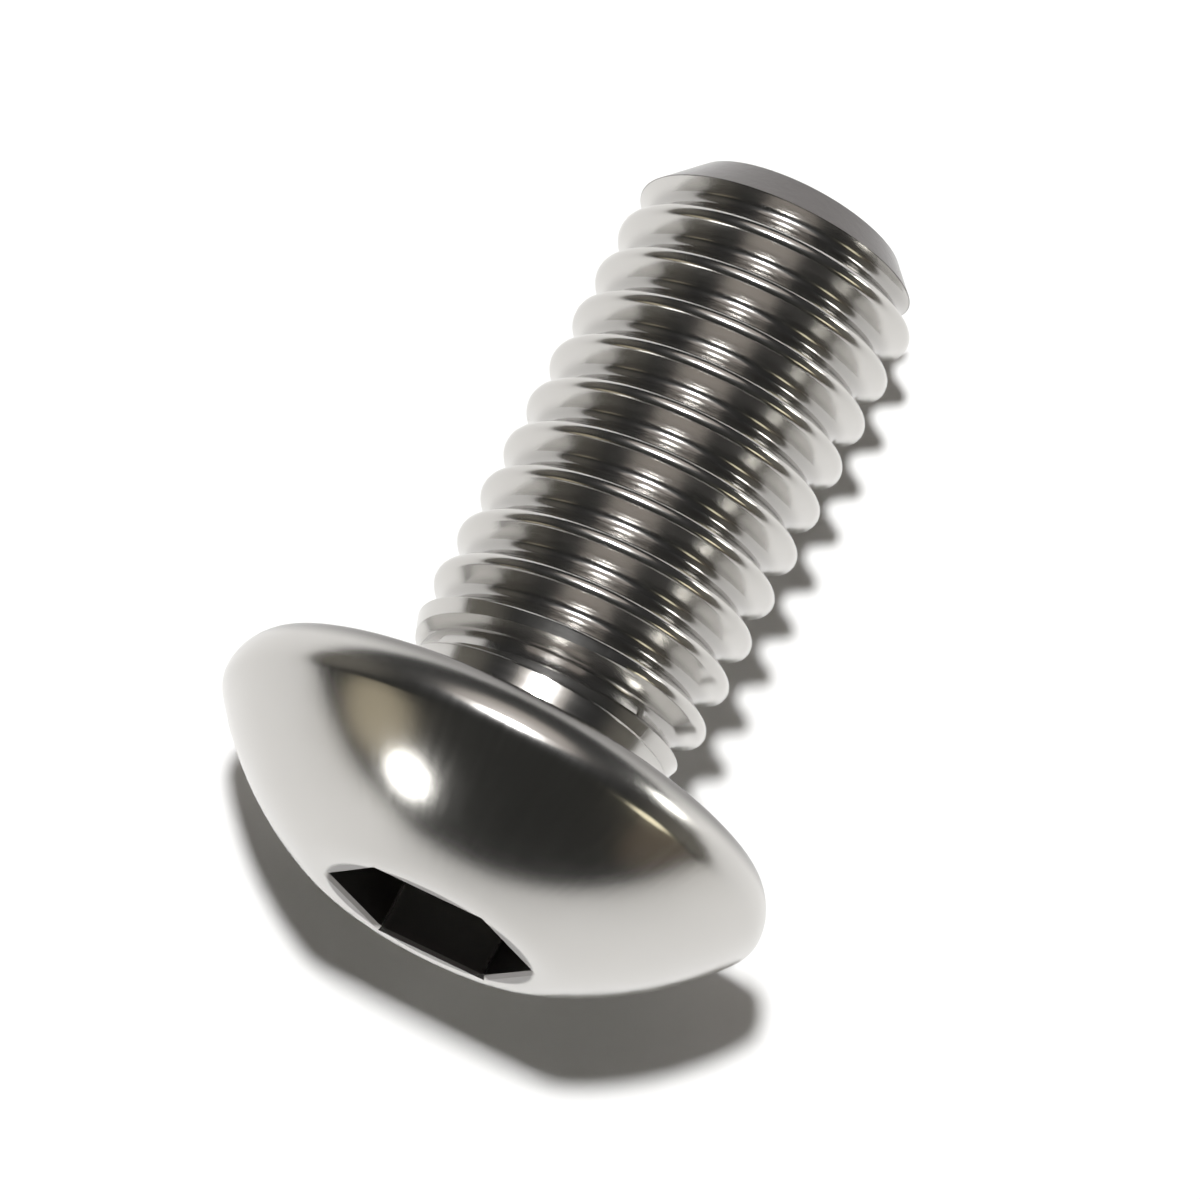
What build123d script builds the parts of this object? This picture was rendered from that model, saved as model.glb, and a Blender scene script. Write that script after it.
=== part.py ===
from build123d import *
import os
from math import asin, atan2, ceil, cos, degrees, hypot, radians, sin, sqrt, tan

# Button head cap screw, metric 5 by 10, headed and thread rolled from one blank.
# It is drawn standing on its axis, with the bearing face at height 0, the head
# above and the shank below, and is then laid down the way it comes to rest.
# The origin is on the ground under its middle, and the tip points towards +Y.

# thread
crest_dia = 4.84
root_dia = 4.02
thread_pitch = 0.8
thread_angle = 60.0
crest_flat = 0.12
last_crest_setback = 0.79
crest_runout = 1.3
root_runout = 0.7
ridge_bury = 0.09
crest_overshoot = 0.04
ridge_start_turn = 37.0

# shank
shank_length = 10.08
neck_dia = 4.38
neck_length = 0.95
neck_flare_width = 0.3
neck_flare_length = 0.35
tip_face_dia = 3.55
tip_chamfer_angle = 48.3

# head
head_dia = 9.15
head_height = 2.72
band_height = 0.66
band_edge_round = 0.14
rim_curl_radius = 0.2
rim_bulge_radius = 0.75
rim_bulge_angle = 45.0
top_land = 0.106
top_round_reach = 0.234

# hexagon socket
socket_flats = 3.05
socket_depth = 1.6
socket_cone_angle = 150.0
socket_turn = 6.0
mouth_chamfer = 0.06

crest_radius = crest_dia / 2
root_radius = root_dia / 2
neck_radius = neck_dia / 2
head_radius = head_dia / 2
land_radius = socket_flats / 2 / cos(radians(30)) + top_land
top_radius = land_radius + top_round_reach
tip_radius = tip_face_dia / 2
flank_slope = tan(radians(thread_angle / 2))
tip_slope = tan(radians(tip_chamfer_angle))
last_crest_depth = shank_length - last_crest_setback

# One turn of the thread ridge, from inside the core to just past the crest.
ridge_inner = root_radius - ridge_bury
ridge_outer = crest_radius + crest_overshoot
inner_half = crest_flat / 2 + (crest_radius - ridge_inner) * flank_slope
outer_half = crest_flat / 2 + (crest_radius - ridge_outer) * flank_slope
with BuildPart() as ridge_turn:
    with BuildLine() as ridge_path:
        Helix(thread_pitch, thread_pitch, ridge_inner)
    with BuildSketch(Plane(origin=(0, 0, 0), x_dir=(1, 0, 0), z_dir=(0, -1, 0))):
        with BuildLine():
            Polyline(
                (ridge_inner, -inner_half),
                (ridge_outer, -outer_half),
                (ridge_outer, outer_half),
                (ridge_inner, inner_half),
                close=True,
            )
        make_face()
    sweep(path=ridge_path.line, is_frenet=True)

# The room the ridge may fill: it is chamfered at the tip, and runs out at the neck.
runout_inner = neck_radius - ridge_bury / 2
runout_end = neck_length + crest_runout * (crest_radius - runout_inner) / (
    crest_radius - neck_radius
)
with BuildPart() as thread_room:
    with BuildSketch(Plane.XZ):
        with BuildLine():
            Polyline(
                (0, -shank_length),
                (tip_radius, -shank_length),
                (crest_radius, -shank_length + (crest_radius - tip_radius) * tip_slope),
                (crest_radius, -runout_end),
                (runout_inner, -neck_length),
                (runout_inner, -neck_length / 2),
                (0, -neck_length / 2),
                close=True,
            )
        make_face()
    revolve(axis=Axis.Z)

# Under its band the rim bulges in to the bearing face, over two arcs.
bulge_sine = sin(radians(rim_bulge_angle))
bulge_cosine = cos(radians(rim_bulge_angle))
bulge_centre = head_radius - rim_bulge_radius
bulge_height = rim_curl_radius * (1 - bulge_sine) + rim_bulge_radius * bulge_sine
bearing_radius = bulge_centre + (rim_bulge_radius - rim_curl_radius) * bulge_cosine

# The dome is a ball's cap through the top of the rim band and the edge of the top face,
# and that edge is rounded to leave a flat land around the socket's corners.
dome_centre = (head_radius**2 + band_height**2 - top_radius**2 - head_height**2) / (
    2 * (band_height - head_height)
)
dome_radius = hypot(head_radius, band_height - dome_centre)
mid_radius = (head_radius + top_radius) / 2
mid_height = dome_centre + sqrt(dome_radius**2 - mid_radius**2)
top_round = (top_radius**2 - land_radius**2) / (2 * (dome_radius - head_height + dome_centre))

with BuildPart() as standing:
    # head, neck and thread core as one turned body
    with BuildSketch(Plane.XZ) as half_section:
        with BuildLine():
            Polyline(
                (0, head_height),
                (0, -shank_length),
                (tip_radius, -shank_length),
                (root_radius, -shank_length + (root_radius - tip_radius) * tip_slope),
                (root_radius, -neck_length - root_runout),
                (neck_radius, -neck_length),
                (neck_radius, -neck_flare_length),
            )
            Bezier(
                (neck_radius, -neck_flare_length),
                (neck_radius, 0),
                (neck_radius + neck_flare_width, 0),
            )
            Line((neck_radius + neck_flare_width, 0), (bearing_radius, 0))
            curl = JernArc((bearing_radius, 0), (1, 0), rim_curl_radius, 90 - rim_bulge_angle)
            bulge = JernArc(curl @ 1, curl % 1, rim_bulge_radius, rim_bulge_angle)
            Line(bulge @ 1, (head_radius, band_height))
            ThreePointArc(
                (head_radius, band_height), (mid_radius, mid_height), (top_radius, head_height)
            )
            Line((top_radius, head_height), (0, head_height))
        make_face()
        for corner, size in (
            ((head_radius, band_height), band_edge_round),
            ((top_radius, head_height), top_round),
        ):
            fillet(half_section.vertices().sort_by_distance((*corner, 0))[0], size)
    revolve(axis=Axis.Z)

    # The ridge starts below the tip face and ends inside the neck. Its crest passes the
    # side that will lie lowest, at 270 degrees, at the depth of the last full crest.
    ridge_start = -last_crest_depth - (1 + (270 - ridge_start_turn) / 360) * thread_pitch
    turn_count = ceil((-ridge_start - neck_length + inner_half) / thread_pitch)
    for turn in range(turn_count):
        with BuildPart(mode=Mode.PRIVATE) as trimmed_turn:
            add(
                ridge_turn.part.moved(
                    Location((0, 0, ridge_start + turn * thread_pitch), (0, 0, ridge_start_turn))
                )
            )
            add(thread_room.part, mode=Mode.INTERSECT)
        add(trimmed_turn.part)

    # socket with a shallow cone at its bottom and a broken edge at its mouth
    with BuildSketch(Plane.XY.offset(head_height)):
        RegularPolygon(socket_flats / 2, 6, major_radius=False, rotation=socket_turn)
    extrude(amount=-socket_depth, mode=Mode.SUBTRACT)
    cone_depth = socket_flats / 2 / tan(radians(socket_cone_angle / 2))
    with Locations((0, 0, head_height - socket_depth - cone_depth / 2)):
        Cone(0, socket_flats / 2, cone_depth, mode=Mode.SUBTRACT)
    top_face = standing.faces().filter_by(Axis.Z).sort_by(Axis.Z)[-1]
    chamfer(top_face.inner_wires()[0].edges(), mouth_chamfer)

# The screw lies on the bulge of its rim and on its last full crest.
rim_step = bulge_centre - crest_radius
contact_gap = last_crest_depth + crest_flat / 2 + bulge_height
lean = atan2(rim_step, contact_gap) + asin(rim_bulge_radius / hypot(rim_step, contact_gap))
axis_height = bulge_centre * cos(lean) + rim_bulge_radius - bulge_height * sin(lean)
front_reach = head_height * cos(lean) + top_radius * sin(lean)
back_reach = shank_length * cos(lean) + tip_radius * sin(lean)
with BuildPart() as button_head_screw:
    add(
        standing.part.rotate(Axis.X, 90 - degrees(lean)).moved(
            Location((0, (front_reach - back_reach) / 2, axis_height))
        )
    )

os.makedirs("parts", exist_ok=True)
button_head_screw.part.label = "button_head_screw"
export_step(button_head_screw.part, "parts/button_head_screw.step")
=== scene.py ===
from math import asin, atan2, cos, degrees, hypot, pi, radians, sin, sqrt, tan

import bpy
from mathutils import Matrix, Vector


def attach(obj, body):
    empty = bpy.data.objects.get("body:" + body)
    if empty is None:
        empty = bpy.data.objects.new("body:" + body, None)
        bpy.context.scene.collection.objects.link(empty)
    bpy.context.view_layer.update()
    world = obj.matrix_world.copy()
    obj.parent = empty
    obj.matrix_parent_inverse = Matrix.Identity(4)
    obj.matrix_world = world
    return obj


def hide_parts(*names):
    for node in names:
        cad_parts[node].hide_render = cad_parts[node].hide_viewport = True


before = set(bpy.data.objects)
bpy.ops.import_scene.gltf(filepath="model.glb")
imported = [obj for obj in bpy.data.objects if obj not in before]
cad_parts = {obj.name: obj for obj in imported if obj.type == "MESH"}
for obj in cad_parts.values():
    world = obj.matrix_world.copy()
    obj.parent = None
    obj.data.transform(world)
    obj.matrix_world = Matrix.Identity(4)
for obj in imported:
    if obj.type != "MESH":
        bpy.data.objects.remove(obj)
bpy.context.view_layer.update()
print("frame loaded")

# the screw is drawn standing, one unit to the millimetre, and is shrunk when it is laid down
mm = 0.001

# sizes of the screw as a whole; heights and depths are measured from the bearing face
screw = {
    "pitch": 0.8,
    "flankAngle": 30,
    "crestRadius": 2.42,
    "shankLength": 10.08,
    "tipRadius": 1.775,
    "tipChamfer": 48.3,
    "neckRadius": 2.19,
    "neckLength": 0.95,
    "headRadius": 4.575,
    "headHeight": 2.72,
    "bandHeight": 0.725,
    "lastCrestDepth": 9.29,
    "bulgeRadius": 0.75,
    "bulgeAngle": 45,
    "curlRadius": 0.2,
    "socketFlats": 3.05,
}
# how far out and how high the bulge under the rim has its centre
bulgeCentre = screw["headRadius"] - screw["bulgeRadius"]
bulgeHeight = screw["curlRadius"] + (screw["bulgeRadius"] - screw["curlRadius"]) * sin(
    radians(screw["bulgeAngle"])
)


def startObject(add, **settings):
    if bpy.context.object and bpy.context.object.mode == "EDIT":
        bpy.ops.object.mode_set(mode="OBJECT")
    bpy.ops.object.select_all(action="DESELECT")
    add(**settings)
    return bpy.context.object


def onlySelect(piece):
    bpy.ops.object.select_all(action="DESELECT")
    piece.select_set(True)
    bpy.context.view_layer.objects.active = piece


def arcPoints(centre, radius, start, end, steps):
    # points of an arc in a section, angles in degrees from outward towards the head
    turns = [radians(start + (end - start) * k / steps) for k in range(steps + 1)]
    return [(centre[0] + radius * cos(t), centre[1] + radius * sin(t)) for t in turns]


def lathe(name, rings, segments):
    # stacks rings on a filled circle, each one extruded from the last and scaled to its radius
    radius, height = rings[0]
    piece = startObject(
        bpy.ops.mesh.primitive_circle_add,
        vertices=segments,
        radius=radius,
        fill_type="NGON",
        location=(0, 0, height),
    )
    piece.name = name
    bpy.ops.object.transform_apply(location=True, rotation=True, scale=True)
    bpy.ops.object.mode_set(mode="EDIT")
    bpy.ops.mesh.select_all(action="SELECT")
    for nextRadius, nextHeight in rings[1:]:
        bpy.ops.mesh.extrude_region_move(
            TRANSFORM_OT_translate={"value": (0, 0, nextHeight - height)}
        )
        bpy.ops.transform.resize(
            value=(nextRadius / radius, nextRadius / radius, 1),
            center_override=(0, 0, nextHeight),
        )
        radius, height = nextRadius, nextHeight
    bpy.ops.mesh.select_all(action="SELECT")
    bpy.ops.mesh.normals_make_consistent(inside=False)
    bpy.ops.object.mode_set(mode="OBJECT")
    return piece


def combine(piece, tool, operation):
    onlySelect(piece)
    boolean = piece.modifiers.new(operation.lower(), "BOOLEAN")
    boolean.operation = operation
    boolean.solver = "EXACT"
    boolean.object = tool
    bpy.ops.object.modifier_apply(modifier=boolean.name)
    bpy.data.objects.remove(tool)


# thread: one pitch of the rolled section, swept up the shank and trimmed at both ends
thread = {
    "crestRound": 0.13,
    "crestFlat": 0.16,
    "rootRound": 0.17,
    "turns": 15,
    "turnsPastLastCrest": 2.75,
    "steps": 160,
    "roundSteps": 7,
    "spareLength": 0.2,
    "shankRoom": 2.9,
    "runoutRadius": 2.145,
    "runoutLength": 0.8,
    "coreRadius": 2.025,
    "coreEnd": 0.5,
    "cutDepth": 0.4,
}


def threadSection():
    crest = screw["crestRadius"]
    flank = radians(screw["flankAngle"])
    half = thread["crestFlat"] / 2
    crestBend, rootBend = thread["crestRound"], thread["rootRound"]
    turn = 90 - screw["flankAngle"]
    crestCentre = (crest - crestBend, half - crestBend * tan(flank))
    # the root arc touches both flanks half a pitch from the crest
    middle = screw["pitch"] / 2
    touchRadius = crest - (middle - rootBend * cos(flank) - half) / tan(flank)
    rootCentre = (touchRadius + rootBend * sin(flank), middle)
    upper = arcPoints(crestCentre, crestBend, 0, turn, thread["roundSteps"])
    upper += arcPoints(rootCentre, rootBend, 180 + turn, 180, thread["roundSteps"])
    return [(r, -z) for r, z in reversed(upper)] + upper


def makeThread():
    section = threadSection()
    strip = startObject(
        bpy.ops.mesh.primitive_plane_add, size=0.1, location=(section[0][0], 0, section[0][1])
    )
    strip.name = "thread"
    bpy.ops.object.transform_apply(location=True, rotation=True, scale=True)
    bpy.ops.object.mode_set(mode="EDIT")
    bpy.ops.mesh.select_all(action="SELECT")
    bpy.ops.mesh.merge(type="CENTER")
    last = section[0]
    for point in section[1:]:
        bpy.ops.mesh.extrude_region_move(
            TRANSFORM_OT_translate={"value": (point[0] - last[0], 0, point[1] - last[1])}
        )
        last = point
    # the crest passes 270 degrees at the depth of the last full crest
    start = -screw["lastCrestDepth"] - thread["turnsPastLastCrest"] * screw["pitch"]
    bpy.ops.mesh.select_all(action="SELECT")
    bpy.ops.transform.translate(value=(0, 0, start))
    bpy.ops.object.mode_set(mode="OBJECT")
    turns = strip.modifiers.new("turns", "SCREW")
    turns.axis = "Z"
    turns.steps = turns.render_steps = thread["steps"]
    turns.screw_offset = screw["pitch"]
    turns.iterations = thread["turns"]
    turns.use_merge_vertices = False
    bpy.ops.object.modifier_apply(modifier="turns")
    bpy.ops.object.mode_set(mode="EDIT")
    bpy.ops.mesh.select_all(action="SELECT")
    bpy.ops.mesh.remove_doubles(threshold=0.0005)
    bottom = -screw["shankLength"] - thread["spareLength"]
    for height, outwards in ((bottom, -1), (-thread["cutDepth"], 1)):
        bpy.ops.mesh.select_all(action="SELECT")
        bpy.ops.mesh.bisect(
            plane_co=(0, 0, height),
            plane_no=(0, 0, outwards),
            use_fill=True,
            clear_outer=True,
            threshold=0.00001,
        )
    bpy.ops.mesh.select_all(action="SELECT")
    bpy.ops.mesh.normals_make_consistent(inside=False)
    bpy.ops.object.mode_set(mode="OBJECT")

    # the room that the thread may fill: it is chamfered at the tip and narrows at the neck
    room, inner = thread["shankRoom"], thread["runoutRadius"]
    chamfer = (room - screw["tipRadius"]) * tan(radians(screw["tipChamfer"]))
    runout = (room - inner) * thread["runoutLength"] / (screw["crestRadius"] - inner)
    rings = [
        (screw["tipRadius"], -screw["shankLength"]),
        (room, -screw["shankLength"] + chamfer),
        (room, -screw["neckLength"] - runout),
        (inner, -screw["neckLength"]),
        (thread["coreRadius"], -thread["coreEnd"]),
    ]
    combine(strip, lathe("threadRoom", rings, thread["steps"]), "INTERSECT")
    return strip


# head and neck: one turned body, whose lower end is buried in the thread's core
head = {
    "edgeRound": 0.42,
    "topRadius": 2.08,
    "topRound": 1.1,
    "waistRadius": 2.12,
    "flareWidth": 0.34,
    "flareLength": 0.4,
    "buriedRings": ((1.6, -2.2), (1.9, -1.9), (2.16, -0.99)),
    "segments": 192,
    "flareSteps": 6,
    "curlSteps": 4,
    "bulgeSteps": 8,
    "edgeSteps": 5,
    "domeSteps": 16,
    "topSteps": 6,
}


def makeHead():
    radius, height, band = screw["headRadius"], screw["headHeight"], screw["bandHeight"]
    top = head["topRadius"]
    domeCentre = (radius**2 + band**2 - top**2 - height**2) / (2 * (band - height))
    domeRadius = hypot(radius, band - domeCentre)
    # the band's edge is an arc inside the dome that touches the band
    edge = head["edgeRound"]
    edgeOut = radius - edge
    edgeUp = domeCentre + sqrt((domeRadius - edge) ** 2 - edgeOut**2)
    edgeEnd = degrees(atan2(edgeUp - domeCentre, edgeOut))
    # the top's round is an arc inside the dome that touches the flat top
    bend = head["topRound"]
    bendUp = height - bend
    bendOut = sqrt((domeRadius - bend) ** 2 - (bendUp - domeCentre) ** 2)
    bendStart = degrees(atan2(bendUp - domeCentre, bendOut))
    bulge, curl, turn = screw["bulgeRadius"], screw["curlRadius"], screw["bulgeAngle"]
    bearing = bulgeCentre + (bulge - curl) * cos(radians(turn))
    # the neck narrows a little towards the flare
    neck, waist = screw["neckRadius"], head["waistRadius"]
    flare, low = head["flareLength"], -screw["neckLength"]
    rings = list(head["buriedRings"])
    rings += [(neck + (waist - neck) * t, low - (low + flare) * t) for t in (0, 0.1, 0.5, 0.9)]
    for k in range(head["flareSteps"] + 1):
        t = k / head["flareSteps"]
        rings.append((waist + head["flareWidth"] * t**2, -flare * (1 - t) ** 2))
    rings += arcPoints((bearing, curl), curl, -90, -turn, head["curlSteps"])
    rings += arcPoints((bulgeCentre, bulgeHeight), bulge, -turn, 0, head["bulgeSteps"])[1:]
    rings += arcPoints((edgeOut, edgeUp), edge, 0, edgeEnd, head["edgeSteps"])
    rings += arcPoints((0, domeCentre), domeRadius, edgeEnd, bendStart, head["domeSteps"])[1:]
    rings += arcPoints((bendOut, bendUp), bend, bendStart, 90, head["topSteps"])[1:]
    return lathe("head", rings, head["segments"])


# hexagon socket: six walls, a cone at its bottom and a broken edge at its mouth
socket = {
    "depth": 1.6,
    "turn": 96,
    "mouth": 0.06,
    "cornerRound": 0.05,
    "cornerSteps": 3,
    "coneAngle": 150,
    "coneSteps": 64,
    "cutAbove": 1,
    "coneGap": 0.002,
    "coneOverlap": 0.001,
    "mouthSpare": 0.1,
}


def cutSocket(piece):
    half = screw["socketFlats"] / 2
    corner = half / cos(radians(30))
    top, depth, above = screw["headHeight"], socket["depth"], socket["cutAbove"]
    turn = (0, 0, radians(socket["turn"]))
    key = startObject(
        bpy.ops.mesh.primitive_cylinder_add,
        vertices=6,
        radius=corner,
        depth=depth + above,
        location=(0, 0, top + (above - depth) / 2),
        rotation=turn,
    )
    bpy.ops.object.transform_apply(location=True, rotation=True, scale=True)
    bpy.ops.object.mode_set(mode="EDIT")
    bpy.ops.mesh.select_all(action="DESELECT")
    bpy.ops.object.mode_set(mode="OBJECT")
    for edge in key.data.edges:
        ends = [key.data.vertices[v].co for v in edge.vertices]
        edge.select = abs(ends[0].z - ends[1].z) > depth
    bpy.ops.object.mode_set(mode="EDIT")
    bpy.ops.mesh.select_mode(type="EDGE")
    bpy.ops.mesh.bevel(offset=socket["cornerRound"], segments=socket["cornerSteps"])
    bpy.ops.object.mode_set(mode="OBJECT")
    combine(piece, key, "DIFFERENCE")

    coneDepth = half / tan(radians(socket["coneAngle"] / 2))
    cone = startObject(
        bpy.ops.mesh.primitive_cone_add,
        vertices=socket["coneSteps"],
        radius1=0,
        radius2=half - socket["coneGap"],
        depth=coneDepth,
        location=(0, 0, top - depth - coneDepth / 2 + socket["coneOverlap"]),
    )
    combine(piece, cone, "DIFFERENCE")

    spread, spare = socket["mouth"], socket["mouthSpare"]
    mouth = startObject(
        bpy.ops.mesh.primitive_cone_add,
        vertices=6,
        radius1=corner - spare,
        radius2=corner + spread + spare,
        depth=spread + 2 * spare,
        location=(0, 0, top - spread / 2),
        rotation=turn,
    )
    combine(piece, mouth, "DIFFERENCE")


body = makeThread()
print("thread turned:", len(body.data.vertices))
combine(body, makeHead(), "UNION")
print("head joined:", len(body.data.vertices))
cutSocket(body)
body.name = "polishedScrew"
body.data.name = "polishedScrew"
print("socket cut:", len(body.data.vertices))

# laid down on the bulge of its rim and its last full crest, as the solid lies
rest = {
    "halfCrest": 0.06,
    "topPastCorner": 0.34,
    "smoothAngle": 28,
}

rimStep = bulgeCentre - screw["crestRadius"]
contactGap = screw["lastCrestDepth"] + rest["halfCrest"] + bulgeHeight
lean = atan2(rimStep, contactGap) + asin(screw["bulgeRadius"] / hypot(rimStep, contactGap))
axisHeight = bulgeCentre * cos(lean) + screw["bulgeRadius"] - bulgeHeight * sin(lean)
topRadius = screw["socketFlats"] / 2 / cos(radians(30)) + rest["topPastCorner"]
frontReach = screw["headHeight"] * cos(lean) + topRadius * sin(lean)
backReach = screw["shankLength"] * cos(lean) + screw["tipRadius"] * sin(lean)
spot = (0, (frontReach - backReach) / 2 * mm, axisHeight * mm)
tilt = (radians(90) - lean, 0, 0)
onlySelect(body)
body.rotation_euler = tilt
body.location = spot
body.scale = (mm, mm, mm)
bpy.ops.object.transform_apply(location=True, rotation=True, scale=True)
bpy.ops.object.shade_smooth_by_angle(angle=radians(rest["smoothAngle"]))
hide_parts("button_head_screw")
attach(body, "root")
print("screw laid down")


class Value:
    # a shader socket that can be used in a sum
    def __init__(self, graph, socket):
        self.graph = graph
        self.socket = socket

    def math(self, operation, first, second=0.0):
        return self.graph.node("ShaderNodeMath", {"operation": operation}, [first, second])

    def __add__(self, other):
        return self.math("ADD", self, other)

    def __radd__(self, other):
        return self.math("ADD", other, self)

    def __sub__(self, other):
        return self.math("SUBTRACT", self, other)

    def __rsub__(self, other):
        return self.math("SUBTRACT", other, self)

    def __mul__(self, other):
        return self.math("MULTIPLY", self, other)

    def __rmul__(self, other):
        return self.math("MULTIPLY", other, self)

    def __truediv__(self, other):
        return self.math("DIVIDE", self, other)

    def __rtruediv__(self, other):
        return self.math("DIVIDE", other, self)

    def __pow__(self, other):
        return self.math("POWER", self, other)


class Graph:
    # the node tree of a material or of the world
    def __init__(self, owner):
        owner.use_nodes = True
        self.tree = owner.node_tree

    def node(self, kind, settings=None, inputs=None, output=0):
        made = self.tree.nodes.new(kind)
        for name, value in (settings or {}).items():
            setattr(made, name, value)
        pairs = enumerate(inputs) if isinstance(inputs, list) else (inputs or {}).items()
        for key, value in pairs:
            if isinstance(value, Value):
                self.tree.links.new(value.socket, made.inputs[key])
            elif value is not None:
                made.inputs[key].default_value = value
        return Value(self, made.outputs[output])

    def step(self, value, low, high, first=0.0, last=1.0):
        # eases from first to last while the value goes from low to high
        return self.node(
            "ShaderNodeMapRange",
            {"interpolation_type": "SMOOTHSTEP"},
            [value, low, high, first, last],
        )

    def split(self, vector):
        parts = self.node("ShaderNodeSeparateXYZ", inputs=[vector]).socket.node
        return [Value(self, parts.outputs[k]) for k in range(3)]

    def noise(self, vector, scale, detail=2.0, roughness=0.5):
        return self.node(
            "ShaderNodeTexNoise",
            inputs={"Vector": vector, "Scale": scale, "Detail": detail, "Roughness": roughness},
        )

    def blend(self, factor, first, second):
        return self.node(
            "ShaderNodeMix", {"data_type": "RGBA"}, {0: factor, 6: first, 7: second}, output=2
        )

    def feed(self, name, **inputs):
        target = self.tree.nodes[name]
        for key, value in inputs.items():
            socket = target.inputs[key.replace("_", " ")]
            if isinstance(value, Value):
                self.tree.links.new(value.socket, socket)
            else:
                socket.default_value = value


# steel: polished, with fine marks round the shank and across the dome, with painted shade in the
# socket, on the seat under the head and in the thread's roots, and a painted dark reflection on
# the tip
finish = {
    "colour": (0.65, 0.64, 0.62, 1),
    "dullColour": (0.54, 0.525, 0.5, 1),
    # the near-black colour below is painted shade: blended into the socket, the seat and the roots
    # where shade falls, and into the tip as a painted dark reflection
    "paintedShadeColour": (0.03, 0.022, 0.024, 1),
    "dullShare": 0.3,
    "paintedShadeShares": {"chamfer": 0.8, "end": 0.35, "socket": 0.65, "seat": 0.7, "root": 0.3},
    "domeRoughness": 0.18,
    "rimRoughness": 0.24,
    "threadRoughness": 0.18,
    "socketRoughness": 0.3,
    "chamferRougher": 0.03,
    "endRougher": 0.14,
    "rollRougher": 0.02,
    "shankRollRougher": 0.06,
    "scratchRougher": 0.08,
    "cloudRougher": 0.04,
    "rollHeight": 0.05,
    "scratchHeight": 0.08,
    "grainHeight": 0.12,
    "bumpDistance": 0.000004,
    "markTightness": 9,
    "scratchTightness": 40,
    "scratchLength": 1.2,
}
# where one finish gives way to the next, in millimetres up the axis or out from it
zones = {
    "headUp": (0.5, 0.72),
    "shankUp": (-0.05, 0.05),
    "socketOut": (1.72, 1.8),
    "seatUp": (-0.02, 0),
    "seatEndUp": (0.05, 0.35),
    "seatOut": (3.5, 4.1),
    "chamferEdge": 0.03,
    "endUp": (0.01, 0.03),
    "rootOut": (2.04, 2.24),
    "rootEndUp": (-0.95, -0.85),
}

steel = bpy.data.materials.new("polishedSteel")
g = Graph(steel)
place = g.node("ShaderNodeTexCoord", output=3)
standing = g.node(
    "ShaderNodeMapping",
    {"vector_type": "TEXTURE"},
    {"Vector": place, "Location": spot, "Rotation": tilt, "Scale": (mm, mm, mm)},
)
x, y, z = g.split(standing)
radius = (x * x + y * y + 0.0001) ** 0.5  # never zero, so that it can divide
tight, scratchTight = finish["markTightness"], finish["scratchTightness"]
around = g.node(
    "ShaderNodeCombineXYZ", inputs=[x / radius, y / radius, z * tight + radius * tight]
)
outward = g.node(
    "ShaderNodeCombineXYZ",
    inputs=[
        x / radius * scratchTight,
        y / radius * scratchTight,
        radius * finish["scratchLength"],
    ],
)
onHead = g.step(z, *zones["headUp"])
onShank = g.step(z, *zones["shankUp"], 1.0, 0.0)
# the socket's walls and floor, which get painted shade below
inSocket = g.step(radius, *zones["socketOut"], 1.0, 0.0) * onHead
# the seat under the head, which gets painted shade below
onSeat = (
    g.step(z, *zones["seatUp"])
    * g.step(z, *zones["seatEndUp"], 1.0, 0.0)
    * g.step(radius, *zones["seatOut"])
)
# the chamfer is where the radius, taken back along its slope, comes to the tip's own
fromTip = z + screw["shankLength"]
tipRadius = screw["tipRadius"]
slopeRadius = radius - fromTip / tan(radians(screw["tipChamfer"]))
# the chamfer gets a painted dark reflection below, and the end face a lighter share of the same
# dark colour
onChamfer = g.step(slopeRadius, tipRadius - zones["chamferEdge"], tipRadius)
onEnd = g.step(fromTip, *zones["endUp"], 1.0, 0.0) * (1 - onChamfer)
# the thread's roots, which get painted shade below
inRoot = g.step(radius, *zones["rootOut"], 1.0, 0.0) * g.step(z, *zones["rootEndUp"], 1.0, 0.0)
rollMarks = g.noise(around, 2.2, 4.0, 0.6)
scratches = g.noise(outward, 1.0, 3.0, 0.6)
grain = g.noise(standing, 9.0, 3.0, 0.6)
clouds = g.noise(standing, 0.7, 2.0)
roughness = (
    finish["rimRoughness"]
    + onShank * (finish["threadRoughness"] - finish["rimRoughness"])
    + onHead * (finish["domeRoughness"] - finish["rimRoughness"])
    + inSocket * (finish["socketRoughness"] - finish["domeRoughness"])
    + (rollMarks - 0.5) * (finish["rollRougher"] + onShank * finish["shankRollRougher"])
    + (scratches - 0.5) * onHead * finish["scratchRougher"]
    + (clouds - 0.5) * finish["cloudRougher"]
    + onChamfer * finish["chamferRougher"]
    + onEnd * finish["endRougher"]
)
height = (
    rollMarks * onShank * finish["rollHeight"]
    + scratches * onHead * (1 - inSocket) * finish["scratchHeight"]
    + grain * (finish["grainHeight"] + onEnd + onChamfer)
)
bump = g.node(
    "ShaderNodeBump",
    inputs={"Strength": 1.0, "Distance": finish["bumpDistance"], "Height": height},
)
# painted shade: how much of the near-black colour each place gets
shares = finish["paintedShadeShares"]
paintedShade = (
    onChamfer * shares["chamfer"]
    + onEnd * shares["end"]
    + inSocket * shares["socket"]
    + onSeat * shares["seat"]
    + inRoot * (1 - onChamfer) * shares["root"]
)
colour = g.blend(clouds * finish["dullShare"], finish["colour"], finish["dullColour"])
# here the painted shade and the tip's painted dark reflection are blended into the steel's colour
colour = g.blend(paintedShade, colour, finish["paintedShadeColour"])
g.feed("Principled BSDF", Base_Color=colour, Metallic=1.0, Roughness=roughness, Normal=bump)
body.data.materials.clear()
body.data.materials.append(steel)
print("steel finished")

# floor: a pale sheet
sheet = {"size": 8.0, "colour": (0.9, 0.9, 0.9, 1), "roughness": 0.55}

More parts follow.
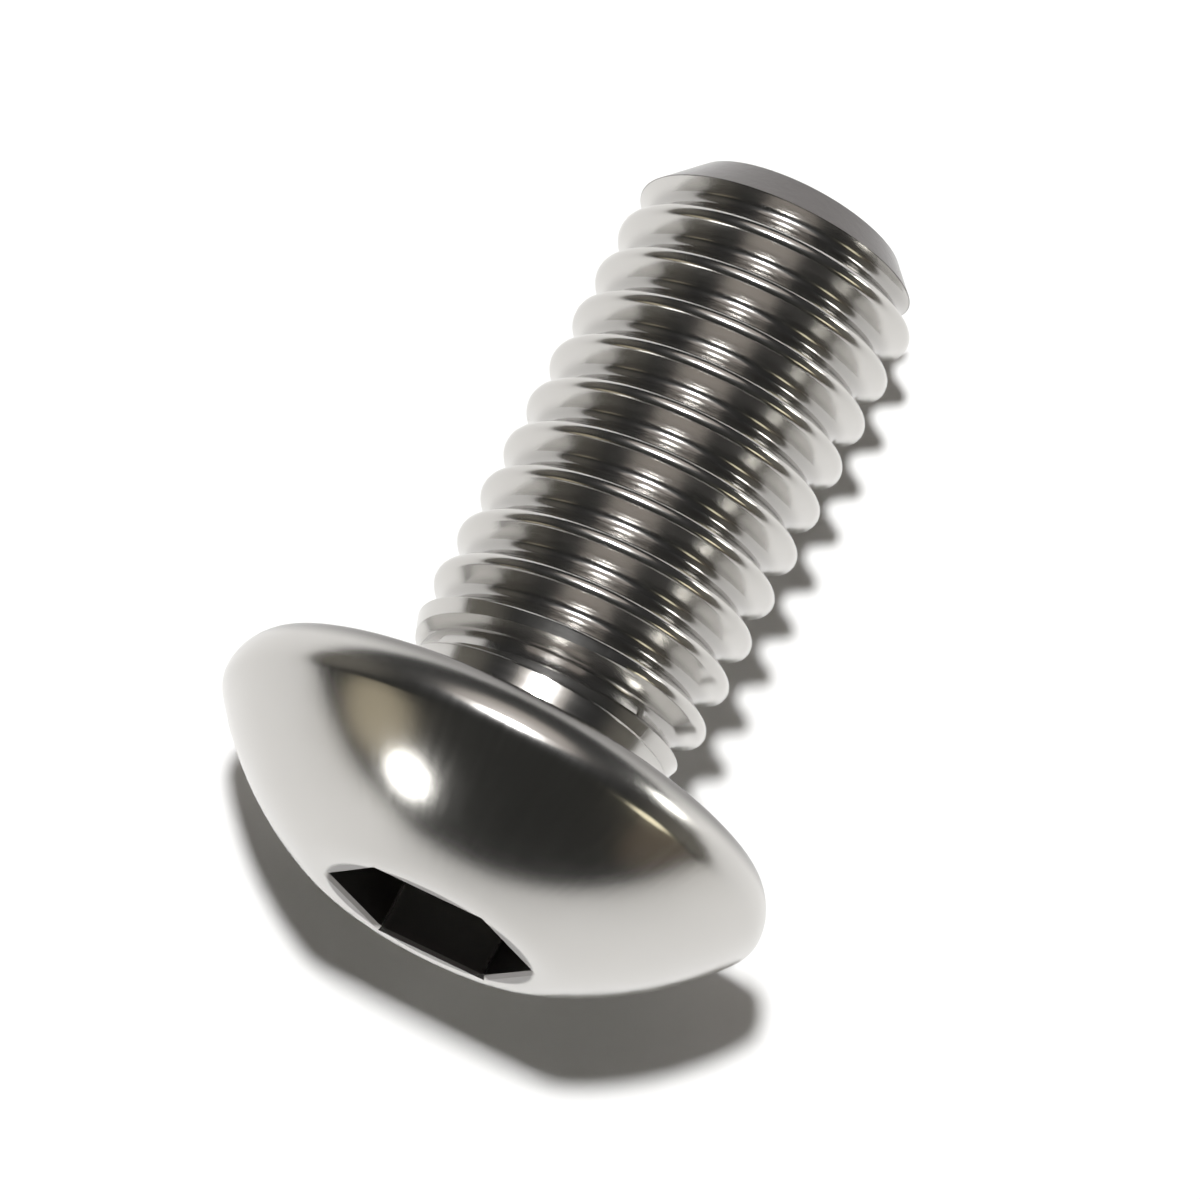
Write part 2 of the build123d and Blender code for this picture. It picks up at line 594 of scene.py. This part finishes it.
floor = startObject(bpy.ops.mesh.primitive_plane_add, size=sheet["size"], location=(0, 0, 0))
floor.name = "floor"
paper = bpy.data.materials.new("paper")
g = Graph(paper)
g.feed("Principled BSDF", Base_Color=sheet["colour"], Roughness=sheet["roughness"])
floor.data.materials.append(paper)

# lamps: where they hang seen from the screw, how wide they look in degrees and how bright they are
lamps = {
    "key": {
        "distance": 0.25,
        "zenith": 13.0,
        "azimuth": 116.7,
        "width": 4.5,
        "radiance": 660,
        "colour": (1, 1, 1),
    },
    "soft": {
        "distance": 2,
        "zenith": 30,
        "azimuth": 100,
        "width": 52,
        "radiance": 0.45,
        "colour": (1, 0.9, 0.82),
    },
    "window": {
        "distance": 2,
        "zenith": 77,
        "azimuth": -113,
        "width": 13,
        "radiance": 5,
        "colour": (1, 0.99, 0.96),
    },
    "side": {
        "distance": 2,
        "zenith": 63,
        "azimuth": -31,
        "width": 16,
        "radiance": 1.6,
        "colour": (1, 0.92, 0.66),
    },
    "far": {
        "distance": 2,
        "zenith": 82,
        "azimuth": 38,
        "width": 11,
        "radiance": 11,
        "colour": (1, 0.99, 0.95),
    },
}


def direction(zenith, azimuth):
    across = sin(radians(zenith))
    return Vector(
        (across * cos(radians(azimuth)), across * sin(radians(azimuth)), cos(radians(zenith)))
    )


for name, lamp in lamps.items():
    data = bpy.data.lights.new(name, "AREA")
    data.shape = "DISK"
    data.size = 2 * lamp["distance"] * tan(radians(lamp["width"] / 2))
    data.color = lamp["colour"]
    data.energy = lamp["radiance"] * pi * pi * (data.size / 2) ** 2
    way = direction(lamp["zenith"], lamp["azimuth"])
    piece = bpy.data.objects.new(name, data)
    bpy.context.scene.collection.objects.link(piece)
    piece.location = way * lamp["distance"]
    piece.rotation_euler = way.to_track_quat("Z", "Y").to_euler()

# room: dark, with grey sides and two warm patches low in front of the head. The front and the
# sides fade between two values of the ray's y or its x squared, the patches between two angles.
room = {
    "front": (0.03, 0.03, 0.028, 1),
    "back": (0.03, 0.03, 0.03, 1),
    "frontEdge": (-0.5, 0.1),
    "sides": (0.16, 0.15, 0.13, 1),
    "sideEdge": (0.5, 0.95),
    "sideFrontEdge": (-0.6, -0.2),
    "patchEdge": (16, 4),
    "warmLeft": {"zenith": 74, "azimuth": -131, "colour": (0.5, 0.44, 0.32, 1)},
    "warmRight": {"zenith": 79, "azimuth": -40, "colour": (0.13, 0.105, 0.08, 1)},
}

world = bpy.data.worlds.new("room")
bpy.context.scene.world = world
g = Graph(world)
ray = g.node("ShaderNodeTexCoord", output=0)
x, y, z = g.split(ray)
shade = g.blend(g.step(y, *room["frontEdge"]), room["front"], room["back"])
outer, inner = [cos(radians(angle)) for angle in room["patchEdge"]]
for patch in (room["warmLeft"], room["warmRight"]):
    way = direction(patch["zenith"], patch["azimuth"])
    near = x * way.x + y * way.y + z * way.z
    shade = g.blend(g.step(near, outer, inner), shade, patch["colour"])
side = g.step(x * x, *room["sideEdge"]) * g.step(y, *room["sideFrontEdge"])
shade = g.blend(side, shade, room["sides"])
g.feed("Background", Color=shade)
print("lamps and room set")

# camera: where it stands round the screw, and how wide a strip of it fills the frame
camera = {
    "azimuth": 27.0,
    "elevation": 84.1,
    "distance": 0.135,
    "width": 0.0185,
    "target": (0, -0.0005, 0.0036),
    "sensor": 36,
    "clipStart": 0.01,
}
cameraData = bpy.data.cameras.new("camera")
cameraPiece = bpy.data.objects.new("camera", cameraData)
bpy.context.scene.collection.objects.link(cameraPiece)
way = direction(90 - camera["elevation"], camera["azimuth"] - 90)
cameraPiece.location = Vector(camera["target"]) + way * camera["distance"]
cameraPiece.rotation_euler = way.to_track_quat("Z", "Y").to_euler()
cameraData.sensor_width = camera["sensor"]
cameraData.lens = camera["sensor"] * camera["distance"] / camera["width"]
cameraData.clip_start = camera["clipStart"]
bpy.context.scene.camera = cameraPiece
bpy.context.scene.view_settings.view_transform = "Standard"
